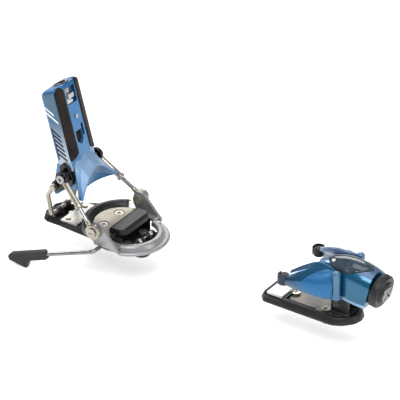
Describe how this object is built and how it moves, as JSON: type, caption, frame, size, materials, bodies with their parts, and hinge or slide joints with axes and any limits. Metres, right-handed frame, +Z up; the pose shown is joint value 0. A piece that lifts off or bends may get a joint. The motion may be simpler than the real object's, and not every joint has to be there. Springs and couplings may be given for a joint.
{
  "type": "ski binding",
  "caption": "Step-in ski binding: a toe piece with hinged wings and a smoked window, and a turntable heel with a tall leaning housing, splayed arms, wire stirrup and ski brake.",
  "frame": {"origin": "the heel turntable's axis, on the ski's top surface", "axes": "+X forwards, from the heel piece to the toe piece; +Y to the skier's left; +Z up, away from the ski"},
  "size_m": [0.4259, 0.128, 0.1952],
  "materials": {
    "black_plastic": "satin",
    "dark_strip": "satin, soft",
    "black_steel": "gloss",
    "grey_casting": "satin",
    "beige_disc": "satin, warm",
    "plate_steel": "brushed",
    "toe_plate_steel": "brushed, dull",
    "screw_steel": "satin",
    "bright_steel": "polished",
    "warm_steel": "satin, warm",
    "brake_wire": "polished",
    "spring_steel": "satin",
    "housing_blue": "satin metallic",
    "cup_blue": "gloss metallic",
    "toe_blue": "gloss metallic",
    "wing_blue": "gloss metallic",
    "smoke_window": "clear, smoked",
    "white_marker": "gloss",
    "copper_marker": "satin",
    "white_slide": "polished"
  },
  "bodies": {
    "ski_fixed": {"heel_base": "black_plastic", "heel_disc": "beige_disc", "heel_screws": "screw_steel", "brake_bracket": "black_plastic", "brake_spring": "bright_steel", "toe_base": "black_plastic", "toe_plate": "toe_plate_steel", "toe_screws": "screw_steel", "toe_body": "toe_blue", "toe_window": "smoke_window", "toe_ring": "black_plastic", "toe_spring": "spring_steel", "toe_spindle": "warm_steel", "wing_pins": "black_steel"},
    "turntable": {"turntable_ring": "grey_casting", "turntable_collar": "black_plastic", "turntable_tail": "black_plastic", "tail_plate": "plate_steel", "tail_rivets": "screw_steel", "lug_pin_left": "warm_steel", "lug_pin_right": "warm_steel"},
    "pressure_screw": {"pressure_screw": "screw_steel"},
    "pressure_indicator": {"pressure_indicator": "white_marker"},
    "arms": {"arm_lug_left": "warm_steel", "arm_lug_right": "warm_steel", "arm_rod_left": "bright_steel", "arm_rod_right": "bright_steel", "arm_sleeve_left": "warm_steel", "arm_sleeve_right": "warm_steel", "arm_eye_left": "black_steel", "arm_eye_right": "black_steel"},
    "stirrup": {"stirrup": "warm_steel"},
    "heel_head": {"heel_housing": "housing_blue", "heel_cup": "cup_blue", "housing_strip_left": "dark_strip", "housing_strip_right": "dark_strip", "knuckle_left": "black_steel", "knuckle_right": "black_steel", "arm_bolts": "bright_steel", "housing_cap": "black_plastic", "housing_rivet": "bright_steel", "heel_spring": "spring_steel", "heel_plunger": "spring_steel"},
    "heel_release_screw": {"heel_release_screw": "bright_steel"},
    "heel_indicator": {"heel_indicator": "white_marker"},
    "brake": {"brake_arm_left": "brake_wire", "brake_arm_right": "brake_wire", "brake_tip_left": "black_plastic", "brake_tip_right": "black_plastic", "brake_pedal": "black_plastic"},
    "toe_release_screw": {"toe_release_screw": "bright_steel"},
    "toe_indicator": {"toe_indicator": "copper_marker"},
    "toe_piston": {"toe_piston": "spring_steel"},
    "wing_left": {"wing_left": "wing_blue", "wing_pad_left": "black_plastic"},
    "wing_right": {"wing_right": "wing_blue", "wing_pad_right": "black_plastic"},
    "afd": {"afd_plate": "white_slide"}
  },
  "joints": [
    {"name": "turntable_swivel", "type": "hinge", "parent": "ski_fixed", "child": "turntable", "pos_m": [0, 0, 0], "axis": [0, 0, 1], "range_deg": [-16, 16]},
    {"name": "heel_arms", "type": "hinge", "parent": "turntable", "child": "arms", "pos_m": [-0.007, 0, 0.0263], "axis": [0, -1, 0], "range_deg": [-0.5, 2]},
    {"name": "heel_open", "type": "hinge", "parent": "arms", "child": "heel_head", "pos_m": [-0.0545, 0, 0.068], "axis": [0, -1, 0], "range_deg": [0, 50]},
    {"name": "stirrup_swing", "type": "hinge", "parent": "turntable", "child": "stirrup", "pos_m": [-0.077, 0, 0.0123], "axis": [0, -1, 0], "range_deg": [-27, 1]},
    {"name": "heel_release_screw", "type": "hinge", "parent": "heel_head", "child": "heel_release_screw", "pos_m": [-0.0583, 0, 0.0728], "axis": [-0.2317, 0, 0.9728], "range_deg": [-1800, 1800]},
    {"name": "heel_indicator", "type": "slide", "parent": "heel_head", "child": "heel_indicator", "axis": [-0.2317, 0, 0.9728], "range_m": [-0.005, 0.005]},
    {"name": "pressure_screw", "type": "hinge", "parent": "turntable", "child": "pressure_screw", "pos_m": [-0.0934, 0, 0.0032], "axis": [1, 0, 0], "range_deg": [-1080, 1080]},
    {"name": "pressure_indicator", "type": "slide", "parent": "turntable", "child": "pressure_indicator", "axis": [1, 0, 0], "range_m": [-0.003, 0.003]},
    {"name": "brake_swing", "type": "hinge", "parent": "ski_fixed", "child": "brake", "pos_m": [-0.0025, 0, 0.007], "axis": [0, 1, 0], "range_deg": [0, 24], "stiffness_Nm_per_rad": 1.5, "springref_deg": -22.92},
    {"name": "wing_left_open", "type": "hinge", "parent": "ski_fixed", "child": "wing_left", "pos_m": [0.2755, 0.0225, 0.05], "axis": [0, 0, -1], "range_deg": [0, 35], "stiffness_Nm_per_rad": 2, "springref_deg": -11.46},
    {"name": "wing_right_open", "type": "hinge", "parent": "ski_fixed", "child": "wing_right", "pos_m": [0.2755, -0.0225, 0.05], "axis": [0, 0, 1], "range_deg": [0, 35], "stiffness_Nm_per_rad": 2, "springref_deg": -11.46},
    {"name": "toe_piston", "type": "slide", "parent": "ski_fixed", "child": "toe_piston", "axis": [0.9781, 0, -0.2079], "range_m": [0, 0.007], "deforming": ["toe_spring"]},
    {"name": "toe_release_screw", "type": "hinge", "parent": "ski_fixed", "child": "toe_release_screw", "pos_m": [0.3135, 0, 0.0435], "axis": [0.9781, 0, -0.2079], "range_deg": [-1800, 1800]},
    {"name": "toe_indicator", "type": "slide", "parent": "ski_fixed", "child": "toe_indicator", "axis": [0.9781, 0, -0.2079], "range_m": [-0.005, 0.005]},
    {"name": "afd_slide", "type": "slide", "parent": "ski_fixed", "child": "afd", "axis": [0, 1, 0], "range_m": [-0.008, 0.008], "stiffness_N_per_m": 600}
  ],
  "couplings": [
    {"joint": "heel_arms", "follows": "heel_open", "ratio": 0.0326},
    {"joint": "stirrup_swing", "follows": "heel_open", "ratio": -0.5277},
    {"joint": "heel_indicator", "follows": "heel_release_screw", "m_per_rad": 0.000159},
    {"joint": "pressure_indicator", "follows": "pressure_screw", "m_per_rad": 0.000159},
    {"joint": "wing_right_open", "follows": "wing_left_open", "ratio": 1},
    {"joint": "toe_piston", "follows": "wing_left_open", "m_per_rad": 0.01145},
    {"joint": "toe_indicator", "follows": "toe_release_screw", "m_per_rad": 0.000159}
  ]
}
